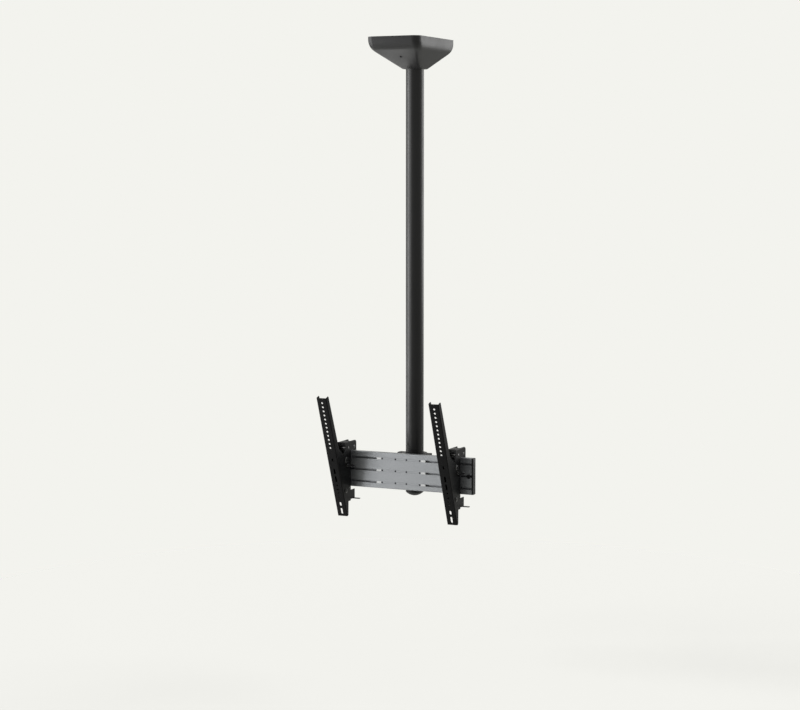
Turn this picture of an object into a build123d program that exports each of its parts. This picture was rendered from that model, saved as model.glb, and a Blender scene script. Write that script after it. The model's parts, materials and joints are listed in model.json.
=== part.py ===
from build123d import *
import os
from math import atan2, cos, degrees, hypot, radians, sin

os.makedirs("parts", exist_ok=True)

# Ceiling mount for a flat display, in millimetres. The origin is on the pole's axis in
# the ceiling plane, Z points up and the display side faces -Y.

# Shared clearances and fasteners
bolt_gap = 0.05
slide_gap = 0.3
m8_radius = 4.0
m8_flats = 13.0
m8_head = 5.5
m8_nut = 6.5
m6_radius = 3.0
m6_flats = 10.0
m6_head = 4.0
m6_nut = 5.0
m5_radius = 2.5
m5_flats = 8.0
m5_head = 3.5

# Pole and ceiling plate
pole_diameter = 60.0
pole_wall = 2.5
pole_depth = 1500.0
cap_rim = 6.0
cap_dome = 13.0
cap_plug = 25.0
plate_side = 150.0
plate_thickness = 8.0
plate_corner = 12.0
ceiling_hole_spacing = 110.0
ceiling_hole_diameter = 11.0
socket_wall = 5.0
socket_length = 62.0
socket_flat_cut = 1.2
cross_bolt_first = 22.0
cross_bolt_pitch = 22.0

# Ceiling cover
cover_half_width = 94.0
cover_front = 180.0
cover_back = 121.0
cover_rim = 33.0
cover_depth = 98.0
cover_foot_half = 35.0
cover_foot_round = 3.0
cover_shoulder = 40.0
cover_hip = 26.0
hip_slope = 0.05
cover_wall = 3.0
cover_screw_forward = 110.0
cover_screw_radius = 2.0
cover_screw_head_radius = 4.5
cover_screw_head = 2.2
cover_screw_length = 12.0

# Rail
rail_height = 120.0
rail_thickness = 20.0
rail_back_depth = 90.0
rail_above_foot = 76.0
rail_edge = 1.5
rail_wall = 2.5
slot_pitch = 40.0
slot_opening = 6.8
slot_lip = 2.5
slot_width = 15.0
slot_cavity = 10.0
end_cap_thickness = 6.0
end_cap_plug = 12.0
end_cap_gap = 0.1
stop_end_margin = 9.0
stop_room_left = 9.0
stop_room_right = 23.0
stop_screw_head_radius = 7.0
stop_screw_head = 6.0
stop_key_flats = 5.0
stop_key_depth = 3.5
stop_nut_side = 13.0
stop_nut_thickness = 4.0

# Slot strips and the rail's screws
strip_length = 178.0
strip_gap = 0.2
strip_hole_places = (-68.5, -20.0, 20.0, 68.5)
screw_recess = 3.0

# Rail adapter and pole clamp
adapter_width = 188.0
adapter_height = 90.0
adapter_plate = 6.0
standoff_width = 76.0
standoff_height = 60.0
standoff_wall = 5.0
clamp_height = 100.0
clamp_wall = 12.0
clamp_split = 2.0
ear_reach = 58.0
ear_thickness = 12.0
clamp_bolt_reach = 50.0
clamp_bolt_pitch = 44.0

# Display arms
arm_spacing = 400.0
arm_tilt = 20.5
arm_length = 440.0
arm_width = 36.0
arm_sheet = 2.0
arm_bend = 3.0
arm_head_depth = 18.0
arm_neck_along = 201.0
arm_neck_depth = 25.0
arm_wedge_along = 267.0
arm_wedge_depth = 76.0
arm_toe_depth = 8.0
arm_neck_round = 20.0
arm_wedge_round = 12.0
arm_end_round = 3.0
arm_hole_diameter = 6.8
arm_hole_first = 18.0
arm_hole_pitch = 15.0
arm_hole_count = 12
arm_lower_holes = (323.0, 340.0, 353.0, 368.5)
arm_slots = ((228.5, 13.0), (271.0, 22.0), (300.0, 22.0), (394.5, 14.0), (421.0, 22.0))

# Pivot and tilt stop, placed on the arm from its top and from its web's front
pivot_along = 258.0
pivot_behind = 58.0
pivot_forward = 41.0
pivot_rise = 33.0
spacer_wall = 3.0
washer_radius = 10.0
stop_along = 354.0
stop_behind = 20.0
stop_sleeve_radius = 6.0

# Tilt lock, placed on the bracket from the rail's front and middle
lock_forward = 36.0
lock_rise = 15.0
lock_reach = 28.0
lock_head_radius = 6.0
lock_head = 2.5

# Hook brackets
bracket_width = 30.0
bracket_sheet = 2.0
bracket_bend = 3.0
hook_rise = 32.0
hook_tail = 22.0
hook_drop = 11.0
hook_round = 10.0
hook_notch = 40.0
bracket_front = 40.0
bracket_below = 49.0
lobe_radius = 12.0
lobe_flat = 6.0
lobe_blend = 34.0

# Latches
latch_sheet = 3.0
latch_front = 30.0
latch_tail = 14.0
latch_gap = 2.0
latch_rise = 44.0
latch_floor = 14.0
latch_bottom = 45.0
latch_round = 3.0
tab_width = 12.0
tab_reach = 26.0
tab_sheet = 2.0
tab_setback = 5.0
rivet_radius = 2.5
rivet_shoulder = 5.5
rivet_head_radius = 4.5
rivet_head = 1.0
rivet_forward = 14.0
rivet_pitch = 37.0
rivet_top_inset = 10.0
hook_rivet_front = 17.0
hook_rivet_rear = 6.0
hook_rivet_rise = 11.0

# Derived places
pole_radius = pole_diameter / 2
bore_radius = pole_radius + bolt_gap
socket_radius = bore_radius + socket_wall
socket_flat = socket_radius - socket_flat_cut
rail_z = rail_above_foot - pole_depth
rail_top = rail_z + rail_height / 2
rail_bottom = rail_z - rail_height / 2
rail_back = -rail_back_depth
rail_front = rail_back - rail_thickness
stop_reach = arm_spacing / 2 + bracket_width / 2 + stop_screw_head_radius
stop_places = (-stop_reach - stop_room_left, stop_reach + stop_room_right)
rail_start = stop_places[0] - stop_end_margin
rail_end = stop_places[1] + stop_end_margin
rail_length = rail_end - rail_start
slot_floor = rail_front + slot_lip + slot_cavity
slot_places = [(slot_floor, rail_z + slot_pitch * row) for row in (-1, 0, 1)]
screw_places = [(place, level) for _, level in slot_places for place in strip_hole_places]
pivot_y = rail_front - pivot_forward
pivot_z = rail_z + pivot_rise
down_y = sin(radians(arm_tilt))
down_z = -cos(radians(arm_tilt))
back_y = -down_z
back_z = down_y
arm_y = pivot_y - pivot_along * down_y - pivot_behind * back_y
arm_z = pivot_z - pivot_along * down_z - pivot_behind * back_z
stop_y = arm_y + stop_along * down_y + stop_behind * back_y
stop_z = arm_z + stop_along * down_z + stop_behind * back_z
bracket_edge = stop_y + stop_sleeve_radius + slide_gap
bracket_half = bracket_width / 2
bracket_inner = bracket_half - bracket_sheet
flange_inner = arm_width / 2 - arm_sheet
lock_y = rail_front - lock_forward
lock_z = rail_z + lock_rise
lock_radius = hypot(lock_y - pivot_y, lock_z - pivot_z)
lock_angle = degrees(atan2(lock_z - pivot_z, lock_y - pivot_y))
bracket_top = rail_top + hook_rise
bracket_bottom = rail_bottom - bracket_below
bracket_height = bracket_top - bracket_bottom
hook_rear = rail_back + hook_tail
lobe_tip = pivot_y - lobe_radius
latch_travel = latch_floor - slide_gap
latch_base = rail_bottom - latch_bottom
latch_rear = rail_back + latch_tail
latch_shift = bracket_inner - slide_gap - latch_sheet / 2
latch_inner = latch_shift - latch_sheet / 2 - slide_gap
guide_width = 2 * (rivet_radius + slide_gap)
tab_y = latch_rear - tab_setback - tab_width / 2
rivet_y = rail_front - rivet_forward
rivet_z = rail_bottom + latch_rise - rivet_top_inset
rivet_places = [(rivet_y, rivet_z), (rivet_y, rivet_z - rivet_pitch)]
hook_rivet_z = rail_top + hook_rivet_rise
hook_rivet_places = [
    (rail_front - hook_rivet_front, hook_rivet_z),
    (rail_back + hook_rivet_rear, hook_rivet_z),
]


# A bolt's or a nut's seat that faces along X, outwards by the sign
def side_seat(x, y, z, outward):
    return Plane(origin=(x, y, z), x_dir=(0, outward, 0), z_dir=(outward, 0, 0))


# A hexagon bolt with its head's seat on the plane, the shank going down into it
def hex_bolt(plane, radius, flats, head, length):
    with BuildPart() as bolt:
        with BuildSketch(plane):
            RegularPolygon(flats / 2, 6, major_radius=False)
        extrude(amount=head)
        with BuildSketch(plane):
            Circle(radius)
        extrude(amount=-length)
    return bolt.part


# A hexagon nut that stands on the plane
def hex_nut(plane, radius, flats, height):
    with BuildPart() as nut:
        with BuildSketch(plane):
            RegularPolygon(flats / 2, 6, major_radius=False)
            Circle(radius + bolt_gap, mode=Mode.SUBTRACT)
        extrude(amount=height)
    return nut.part


def save(builder, label):
    builder.part.label = label
    export_step(builder.part, f"parts/{label}.step")


# Ceiling plate: square steel plate with its four bolt holes
with BuildPart() as ceiling_plate:
    with BuildSketch():
        RectangleRounded(plate_side, plate_side, plate_corner)
        with GridLocations(ceiling_hole_spacing, ceiling_hole_spacing, 2, 2):
            Circle(ceiling_hole_diameter / 2, mode=Mode.SUBTRACT)
    extrude(amount=-plate_thickness)
save(ceiling_plate, "ceiling_plate")

# Pole socket: a tube under the plate, with flats for the cross bolts
cross_bolt_levels = [-plate_thickness - cross_bolt_first - cross_bolt_pitch * row for row in (0, 1)]
with BuildPart() as pole_socket:
    with BuildSketch(Plane.XY.offset(-plate_thickness)):
        Circle(socket_radius)
        Rectangle(2 * socket_flat, 2 * socket_radius, mode=Mode.INTERSECT)
        Circle(bore_radius, mode=Mode.SUBTRACT)
    extrude(amount=-socket_length)
    with BuildSketch(Plane.YZ):
        with Locations([(0, level) for level in cross_bolt_levels]):
            Circle(m8_radius + bolt_gap)
    extrude(amount=socket_radius, both=True, mode=Mode.SUBTRACT)
save(pole_socket, "pole_socket")

# Cross bolts through the socket and the pole, each with its nut
with BuildPart() as socket_bolts:
    for level in cross_bolt_levels:
        bolt_seat = side_seat(socket_flat, 0, level, 1)
        add(hex_bolt(bolt_seat, m8_radius, m8_flats, m8_head, 2 * socket_flat + m8_nut))
        add(hex_nut(side_seat(-socket_flat, 0, level, -1), m8_radius, m8_flats, m8_nut))
save(socket_bolts, "socket_bolts")

# Pole: round tube from the ceiling plate down
with BuildPart() as pole:
    with BuildSketch(Plane.XY.offset(-plate_thickness)):
        Circle(pole_radius)
        Circle(pole_radius - pole_wall, mode=Mode.SUBTRACT)
    extrude(amount=plate_thickness - pole_depth)
    with BuildSketch(Plane.YZ):
        with Locations([(0, level) for level in cross_bolt_levels]):
            Circle(m8_radius + bolt_gap)
    extrude(amount=socket_radius, both=True, mode=Mode.SUBTRACT)
save(pole, "pole")

# Pole end cap: a plug in the tube with a domed foot
plug_radius = pole_radius - pole_wall - bolt_gap
cap_bottom = (0, -pole_depth - cap_rim - cap_dome)
with BuildPart() as pole_end_cap:
    with BuildSketch(Plane.XZ):
        with BuildLine():
            Polyline(
                (0, -pole_depth + cap_plug),
                (plug_radius, -pole_depth + cap_plug),
                (plug_radius, -pole_depth),
                (pole_radius, -pole_depth),
                (pole_radius, -pole_depth - cap_rim),
            )
            TangentArc(cap_bottom, (pole_radius, -pole_depth - cap_rim), tangent=(1, 0))
            Line(cap_bottom, (0, -pole_depth + cap_plug))
        make_face()
    revolve(axis=Axis.Z)
save(pole_end_cap, "pole_end_cap")


# The cover's profile across one way: upright rim, rounded shoulder and slope to the foot
def cover_profile(near, far, inset):
    foot = cover_foot_half - inset
    shoulders = ((inset - near, -cover_rim), (far - inset, -cover_rim))
    with BuildSketch() as profile:
        with BuildLine():
            Polyline(
                (inset - near, 0),
                shoulders[0],
                (-foot, inset - cover_depth),
                (foot, inset - cover_depth),
                shoulders[1],
                (far - inset, 0),
                close=True,
            )
        make_face()
        for shoulder in shoulders:
            fillet(profile.vertices().sort_by_distance(shoulder)[0], cover_shoulder - inset)
    return profile.sketch


# The cover's form: its two profiles crossed, with rounded hips, drawn in by the inset
def cover_form(inset):
    with BuildPart() as form:
        with BuildSketch(Plane.YZ):
            add(cover_profile(cover_front, cover_back, inset))
        extrude(amount=cover_half_width, both=True)
        with BuildSketch(Plane.XZ):
            add(cover_profile(cover_half_width, cover_half_width, inset))
        extrude(amount=cover_front, both=True, mode=Mode.INTERSECT)
        hips = form.edges().filter_by(lambda edge: abs(edge.tangent_at(0.5).Z) > hip_slope)
        fillet(hips, cover_hip - inset)
    return form.part


# The cover screw's seat on the sloping front face
slope_run = cover_front - cover_foot_half
slope_fall = cover_depth - cover_rim
screw_level = -cover_rim - (cover_front - cover_screw_forward) * slope_fall / slope_run
screw_seat = Plane(
    origin=(0, -cover_screw_forward, screw_level),
    x_dir=(1, 0, 0),
    z_dir=(0, -slope_fall, -slope_run),
)

# Ceiling cover: a moulded shell whose foot runs on the pole
cover_shell = cover_form(0)
cover_hollow = cover_form(cover_wall)
with BuildPart() as ceiling_cover:
    add(cover_shell)
    foot_face = ceiling_cover.faces().sort_by(Axis.Z)[0]
    fillet(foot_face.edges(), cover_foot_round)
    add(cover_hollow, mode=Mode.SUBTRACT)
    with BuildSketch():
        Circle(pole_radius + slide_gap)
    extrude(amount=-cover_depth, mode=Mode.SUBTRACT)
    with BuildSketch(screw_seat):
        Circle(cover_screw_radius + bolt_gap)
    extrude(amount=-cover_screw_length, mode=Mode.SUBTRACT)
save(ceiling_cover, "ceiling_cover")

# Cover screw: low round head on the slope
with BuildPart() as cover_screw:
    with BuildSketch(screw_seat):
        Circle(cover_screw_head_radius)
    extrude(amount=cover_screw_head)
    chamfer(cover_screw.edges().sort_by(Axis.Z)[0], cover_screw_head / 2)
    with BuildSketch(screw_seat):
        Circle(cover_screw_radius)
    extrude(amount=-cover_screw_length)
save(cover_screw, "cover_screw")

# Rail: extrusion with three T-slots in its front and closed chambers between them
chamber_middle = slot_pitch - slot_width - 2 * rail_wall
chamber_outer = (rail_height - 2 * slot_pitch - slot_width) / 2 - 2 * rail_wall
chamber_depth = rail_thickness - slot_lip - rail_wall
chamber_y = rail_front + slot_lip + chamber_depth / 2
chamber_outer_z = rail_height / 2 - rail_wall - chamber_outer / 2
chambers = [
    (rail_z + chamber_outer_z, chamber_outer),
    (rail_z + slot_pitch / 2, chamber_middle),
    (rail_z - slot_pitch / 2, chamber_middle),
    (rail_z - chamber_outer_z, chamber_outer),
]
with BuildPart() as rail:
    with BuildSketch(Plane.YZ.offset(rail_start)):
        with Locations(((rail_front + rail_back) / 2, rail_z)):
            RectangleRounded(rail_thickness, rail_height, rail_edge)
        with Locations(slot_places):
            Rectangle(slot_cavity, slot_width, align=(Align.MAX, Align.CENTER), mode=Mode.SUBTRACT)
            Rectangle(
                slot_cavity + slot_lip,
                slot_opening,
                align=(Align.MAX, Align.CENTER),
                mode=Mode.SUBTRACT,
            )
        for level, height in chambers:
            with Locations((chamber_y, level)):
                RectangleRounded(chamber_depth, height, rail_edge, mode=Mode.SUBTRACT)
    extrude(amount=rail_length)
    with BuildSketch(Plane.XZ.offset(-rail_back)):
        with Locations(screw_places):
            Circle(m5_radius + bolt_gap)
    extrude(amount=rail_thickness, mode=Mode.SUBTRACT)
save(rail, "rail")

# Slot strips: flush T-shaped bars, tapped for the rail's screws
strip_foot = slot_width - 2 * strip_gap
strip_neck = slot_opening - 2 * strip_gap
for row, (floor, level) in zip(("bottom", "middle", "top"), slot_places):
    with BuildPart() as slot_strip:
        with BuildSketch(Plane.YZ.offset(-strip_length / 2)):
            with Locations((floor, level)):
                Rectangle(slot_cavity - strip_gap, strip_foot, align=(Align.MAX, Align.CENTER))
                Rectangle(slot_cavity + slot_lip, strip_neck, align=(Align.MAX, Align.CENTER))
        extrude(amount=strip_length)
        with BuildSketch(Plane.XZ.offset(-floor)):
            with Locations([(place, level) for place in strip_hole_places]):
                Circle(m5_radius + bolt_gap)
        extrude(amount=slot_cavity + slot_lip, mode=Mode.SUBTRACT)
    save(slot_strip, f"slot_strip_{row}")

# Rail adapter: plate on the rail's back, standoff and the front half of the pole clamp
plate_rear = rail_back + adapter_plate
clamp_radius = bore_radius + clamp_wall
clamp_floor = rail_z - clamp_height / 2
ear_shift = clamp_split / 2 + ear_thickness / 2
clamp_bolt_places = [
    (reach, rail_z + rise)
    for reach in (-clamp_bolt_reach, clamp_bolt_reach)
    for rise in (-clamp_bolt_pitch / 2, clamp_bolt_pitch / 2)
]
with BuildPart() as rail_adapter:
    with BuildSketch(Plane.XY.offset(clamp_floor)):
        Circle(clamp_radius)
        with Locations((0, -clamp_split / 2)):
            Rectangle(
                2 * clamp_radius, 2 * clamp_radius, align=(Align.CENTER, Align.MAX), mode=Mode.INTERSECT
            )
        with Locations((0, -ear_shift)):
            Rectangle(2 * ear_reach, ear_thickness)
    extrude(amount=clamp_height)
    with BuildSketch(Plane.XZ.offset(-plate_rear)):
        with Locations((0, rail_z)):
            RectangleRounded(standoff_width, standoff_height, standoff_wall)
    extrude(amount=plate_rear)
    with BuildSketch(Plane.XZ.offset(-plate_rear)):
        with Locations((0, rail_z)):
            RectangleRounded(adapter_width, adapter_height, standoff_wall)
    extrude(amount=adapter_plate)
    with BuildSketch(Plane.XZ.offset(clamp_radius)):
        with Locations((0, rail_z)):
            Rectangle(standoff_width - 2 * standoff_wall, standoff_height - 2 * standoff_wall)
    extrude(amount=-rail_back - clamp_radius, mode=Mode.SUBTRACT)
    with BuildSketch(Plane.XY.offset(clamp_floor)):
        Circle(bore_radius)
    extrude(amount=clamp_height, mode=Mode.SUBTRACT)
    with BuildSketch(Plane.XZ):
        with Locations(clamp_bolt_places):
            Circle(m8_radius + bolt_gap)
    extrude(amount=-plate_rear, both=True, mode=Mode.SUBTRACT)
    with BuildSketch(Plane.XZ.offset(-plate_rear)):
        with Locations(screw_places):
            Circle(m5_radius + bolt_gap)
    extrude(amount=adapter_plate, mode=Mode.SUBTRACT)
save(rail_adapter, "rail_adapter")

# Rear half of the pole clamp
with BuildPart() as clamp_rear:
    with BuildSketch(Plane.XY.offset(clamp_floor)):
        Circle(clamp_radius)
        with Locations((0, clamp_split / 2)):
            Rectangle(
                2 * clamp_radius, 2 * clamp_radius, align=(Align.CENTER, Align.MIN), mode=Mode.INTERSECT
            )
        with Locations((0, ear_shift)):
            Rectangle(2 * ear_reach, ear_thickness)
        Circle(bore_radius, mode=Mode.SUBTRACT)
    extrude(amount=clamp_height)
    with BuildSketch(Plane.XZ):
        with Locations(clamp_bolt_places):
            Circle(m8_radius + bolt_gap)
    extrude(amount=-clamp_radius, mode=Mode.SUBTRACT)
save(clamp_rear, "clamp_rear")

# Clamp bolts with their heads behind and their nuts in front
ear_face = clamp_split / 2 + ear_thickness
with BuildPart() as clamp_bolts:
    for reach, level in clamp_bolt_places:
        head_seat = Plane(origin=(reach, ear_face, level), x_dir=(1, 0, 0), z_dir=(0, 1, 0))
        nut_seat = Plane(origin=(reach, -ear_face, level), x_dir=(1, 0, 0), z_dir=(0, -1, 0))
        add(hex_bolt(head_seat, m8_radius, m8_flats, m8_head, 2 * ear_face + m8_nut))
        add(hex_nut(nut_seat, m8_radius, m8_flats, m8_nut))
save(clamp_bolts, "clamp_bolts")

# Rail screws from behind the adapter into the strips, ending short of the strips' faces
screw_length = rail_thickness + adapter_plate - screw_recess
with BuildPart() as rail_screws:
    for place, level in screw_places:
        head_seat = Plane(origin=(place, plate_rear, level), x_dir=(1, 0, 0), z_dir=(0, 1, 0))
        add(hex_bolt(head_seat, m5_radius, m5_flats, m5_head, screw_length))
save(rail_screws, "rail_screws")

# Rail end caps: moulded covers with plugs in the rail's chambers
for side, end, outward in (("left", rail_start, -1), ("right", rail_end, 1)):
    with BuildPart() as rail_end_cap:
        with BuildSketch(Plane.YZ.offset(end)):
            with Locations(((rail_front + rail_back) / 2, rail_z)):
                RectangleRounded(rail_thickness, rail_height, rail_edge)
        extrude(amount=outward * end_cap_thickness)
        outer_face = rail_end_cap.faces().filter_by(Axis.X).sort_by(Axis.X)[-1 if outward > 0 else 0]
        fillet(outer_face.edges(), rail_edge)
        with BuildSketch(Plane.YZ.offset(end)):
            for level, height in chambers:
                with Locations((chamber_y, level)):
                    RectangleRounded(chamber_depth - 2 * end_cap_gap, height - 2 * end_cap_gap, rail_edge)
        extrude(amount=-outward * end_cap_plug)
    save(rail_end_cap, f"rail_end_cap_{side}")

# Stop screws in the middle slot near the rail's ends
stop_seats = [
    Plane(origin=(place, rail_front, rail_z), x_dir=(1, 0, 0), z_dir=(0, -1, 0)) for place in stop_places
]
with BuildPart() as stop_screws:
    for seat in stop_seats:
        with BuildSketch(seat):
            Circle(stop_screw_head_radius)
        extrude(amount=stop_screw_head)
        with BuildSketch(seat.offset(stop_screw_head)):
            RegularPolygon(stop_key_flats / 2, 6, major_radius=False)
        extrude(amount=-stop_key_depth, mode=Mode.SUBTRACT)
        with BuildSketch(seat):
            Circle(m6_radius)
        extrude(amount=-slot_lip - slot_cavity)
save(stop_screws, "stop_screws")

# Square nuts of the stop screws, drawn up under the slot's lips
with BuildPart() as stop_nuts:
    for seat in stop_seats:
        with BuildSketch(seat.offset(-slot_lip)):
            Rectangle(stop_nut_side, stop_nut_side)
            Circle(m6_radius + bolt_gap, mode=Mode.SUBTRACT)
        extrude(amount=-stop_nut_thickness)
save(stop_nuts, "stop_nuts")

# The curved slot about the pivot that the tilt lock's bolt runs in
lock_path = CenterArc((0, 0), lock_radius, lock_angle, arm_tilt)
lock_slot = SlotArc(lock_path, 2 * (m6_radius + slide_gap))

# Both sides: hook bracket, display arm, pivot, tilt stop, tilt lock and latch
for side, arm_x in (("left", -arm_spacing / 2), ("right", arm_spacing / 2)):
    across = Plane.YZ.offset(arm_x)
    arm_origin = (arm_x, arm_y, arm_z)
    arm_end = Plane(origin=arm_origin, x_dir=(1, 0, 0), z_dir=(0, down_y, down_z))
    arm_side = Plane(origin=arm_origin, x_dir=(0, down_y, down_z), z_dir=(1, 0, 0))
    arm_web = Plane(origin=arm_origin, x_dir=(0, down_y, down_z), z_dir=(0, -back_y, -back_z))
    head_x = arm_x + arm_width / 2
    nut_x = arm_x - arm_width / 2

    # Display arm: folded channel cut to its tapered side shape, with a perforated web
    with BuildPart() as display_arm:
        with BuildSketch(arm_end) as section:
            Rectangle(arm_width, arm_wedge_depth, align=(Align.CENTER, Align.MAX))
            fillet(section.vertices().group_by(Axis.Y)[-1], arm_bend)
            with Locations((0, -arm_sheet)):
                RectangleRounded(
                    2 * flange_inner,
                    arm_wedge_depth,
                    arm_bend - arm_sheet,
                    align=(Align.CENTER, Align.MAX),
                    mode=Mode.SUBTRACT,
                )
        extrude(amount=arm_length)
        with BuildSketch(arm_side) as outline:
            with BuildLine():
                Polyline(
                    (0, 0),
                    (arm_length, 0),
                    (arm_length, arm_toe_depth),
                    (arm_wedge_along, arm_wedge_depth),
                    (arm_neck_along, arm_neck_depth),
                    (0, arm_head_depth),
                    close=True,
                )
            make_face()
            for corner, radius in (
                ((arm_wedge_along, arm_wedge_depth), arm_wedge_round),
                ((arm_neck_along, arm_neck_depth), arm_neck_round),
                ((arm_length, arm_toe_depth), arm_end_round),
                ((0, arm_head_depth), arm_end_round),
            ):
                fillet(outline.vertices().sort_by_distance(corner)[0], radius)
        extrude(amount=arm_width, both=True, mode=Mode.INTERSECT)
        with BuildSketch(arm_web):
            with Locations([(arm_hole_first + arm_hole_pitch * i, 0) for i in range(arm_hole_count)]):
                Circle(arm_hole_diameter / 2)
            with Locations([(along, 0) for along in arm_lower_holes]):
                Circle(arm_hole_diameter / 2)
            for along, length in arm_slots:
                with Locations((along, 0)):
                    SlotOverall(length, arm_hole_diameter)
        extrude(amount=-arm_bend, mode=Mode.SUBTRACT)
        with BuildSketch(arm_side):
            with Locations((pivot_along, pivot_behind)):
                Circle(m8_radius + bolt_gap)
            with Locations((stop_along, stop_behind)):
                Circle(m6_radius + bolt_gap)
        extrude(amount=arm_width, both=True, mode=Mode.SUBTRACT)
        with BuildSketch(across):
            with Locations((pivot_y, pivot_z)):
                add(lock_slot)
        extrude(amount=arm_width, mode=Mode.SUBTRACT)
    save(display_arm, f"display_arm_{side}")

    # Hook bracket: plate folded over at the top, hung over the rail, open in front and behind
    with BuildPart() as hook_bracket:
        with BuildSketch(Plane.XZ.offset(-hook_rear)) as section:
            with Locations((arm_x, bracket_top)):
                Rectangle(bracket_width, bracket_height, align=(Align.CENTER, Align.MAX))
            fillet(section.vertices().group_by(Axis.Y)[-1], bracket_bend)
            with Locations((arm_x, bracket_top - bracket_sheet)):
                RectangleRounded(
                    2 * bracket_inner,
                    bracket_height,
                    bracket_bend - bracket_sheet,
                    align=(Align.CENTER, Align.MAX),
                    mode=Mode.SUBTRACT,
                )
        extrude(amount=hook_rear - lobe_tip)
        with BuildSketch(across) as outline:
            with BuildLine():
                Polyline(
                    (rail_front - bracket_front, bracket_top),
                    (hook_rear, bracket_top),
                    (hook_rear, rail_top - hook_drop),
                    (rail_back + slide_gap, rail_top - hook_drop),
                    (rail_back + slide_gap, rail_top + slide_gap),
                    (rail_front - slide_gap, rail_top + slide_gap),
                    (rail_front - slide_gap, bracket_bottom),
                    (bracket_edge, bracket_bottom),
                    (bracket_edge, pivot_z - lobe_blend),
                    (lobe_tip, pivot_z - lobe_flat),
                    (lobe_tip, pivot_z + lobe_flat),
                    (rail_front - bracket_front, pivot_z + lobe_blend),
                    close=True,
                )
            make_face()
            for corner in (
                (hook_rear, bracket_top),
                (lobe_tip, pivot_z - lobe_flat),
                (lobe_tip, pivot_z + lobe_flat),
            ):
                fillet(outline.vertices().sort_by_distance(corner)[0], hook_round)
        extrude(amount=bracket_width, both=True, mode=Mode.INTERSECT)
        with BuildSketch(across):
            with Locations((pivot_y, pivot_z)):
                Circle(m8_radius + bolt_gap)
            with Locations(rivet_places + hook_rivet_places):
                Circle(rivet_radius + bolt_gap)
        extrude(amount=bracket_width, both=True, mode=Mode.SUBTRACT)
        with BuildSketch(across):
            with Locations((lock_y, lock_z)):
                Circle(m6_radius + bolt_gap)
        extrude(amount=bracket_width, mode=Mode.SUBTRACT)
        with BuildSketch(Plane.XY.offset(bracket_top)):
            with Locations((arm_x, hook_rear)):
                Rectangle(bracket_width - 2 * bracket_bend, hook_notch, align=(Align.CENTER, Align.MAX))
        extrude(amount=-bracket_bend, mode=Mode.SUBTRACT)
    save(hook_bracket, f"hook_bracket_{side}")

    # Latch: flat plate with a ledge below the rail and a bent finger tab
    with BuildPart() as latch:
        with BuildSketch(across.offset(latch_shift)) as outline:
            with BuildLine():
                Polyline(
                    (rail_front - latch_front, rail_bottom + latch_rise),
                    (rail_front - latch_gap, rail_bottom + latch_rise),
                    (rail_front - latch_gap, rail_bottom - latch_floor),
                    (latch_rear, rail_bottom - latch_floor),
                    (latch_rear, latch_base),
                    (rail_front - latch_front, latch_base),
                    close=True,
                )
            make_face()
            fillet(outline.vertices().sort_by_distance((latch_rear, latch_base))[0], latch_round)
            with Locations([(y, z - latch_travel / 2) for y, z in rivet_places]):
                SlotOverall(latch_travel + guide_width, guide_width, rotation=90, mode=Mode.SUBTRACT)
        extrude(amount=latch_sheet / 2, both=True)
        with BuildSketch(Plane.XY.offset(latch_base)):
            with Locations((arm_x + latch_shift, tab_y)):
                Rectangle(tab_reach, tab_width, align=(Align.MIN, Align.CENTER))
        extrude(amount=tab_sheet)
        tab_end = latch.edges().filter_by(Axis.Z).group_by(Axis.X)[-1]
        fillet(tab_end, latch_round)
    save(latch, f"latch_{side}")

    # Latch rivets: shouldered pins between the bracket's side plates
    with BuildPart() as latch_rivets:
        with BuildSketch(across):
            with Locations(rivet_places):
                Circle(rivet_radius)
        extrude(amount=bracket_half, both=True)
        with BuildSketch(across.offset(-bracket_inner)):
            with Locations(rivet_places):
                Circle(rivet_shoulder)
        extrude(amount=bracket_inner + latch_inner)
        for outward in (-1, 1):
            with BuildSketch(across.offset(outward * bracket_half)):
                with Locations(rivet_places):
                    Circle(rivet_head_radius)
            extrude(amount=outward * rivet_head)
    save(latch_rivets, f"latch_rivets_{side}")

    # Hook rivets: spacers that tie the bracket's side plates together above the rail
    with BuildPart() as hook_rivets:
        with BuildSketch(across):
            with Locations(hook_rivet_places):
                Circle(rivet_shoulder)
        extrude(amount=bracket_inner, both=True)
        with BuildSketch(across):
            with Locations(hook_rivet_places):
                Circle(rivet_radius)
        extrude(amount=bracket_half, both=True)
        for outward in (-1, 1):
            with BuildSketch(across.offset(outward * bracket_half)):
                with Locations(hook_rivet_places):
                    Circle(rivet_head_radius)
            extrude(amount=outward * rivet_head)
    save(hook_rivets, f"hook_rivets_{side}")

    # Pivot bolt, its nut, the spacer in the bracket and the washers beside it
    with BuildPart() as pivot_bolt:
        add(hex_bolt(side_seat(head_x, pivot_y, pivot_z, 1), m8_radius, m8_flats, m8_head, arm_width + m8_nut))
    save(pivot_bolt, f"pivot_bolt_{side}")
    with BuildPart() as pivot_nut:
        add(hex_nut(side_seat(nut_x, pivot_y, pivot_z, -1), m8_radius, m8_flats, m8_nut))
    save(pivot_nut, f"pivot_nut_{side}")
    with BuildPart() as pivot_spacer:
        with BuildSketch(across):
            with Locations((pivot_y, pivot_z)):
                Circle(m8_radius + bolt_gap + spacer_wall)
                Circle(m8_radius + bolt_gap, mode=Mode.SUBTRACT)
        extrude(amount=bracket_inner, both=True)
    save(pivot_spacer, f"pivot_spacer_{side}")
    with BuildPart() as pivot_washers:
        for outward in (-1, 1):
            with BuildSketch(across.offset(outward * flange_inner)):
                with Locations((pivot_y, pivot_z)):
                    Circle(washer_radius)
                    Circle(m8_radius + bolt_gap, mode=Mode.SUBTRACT)
            extrude(amount=outward * (bracket_half + slide_gap - flange_inner))
    save(pivot_washers, f"pivot_washers_{side}")

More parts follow.
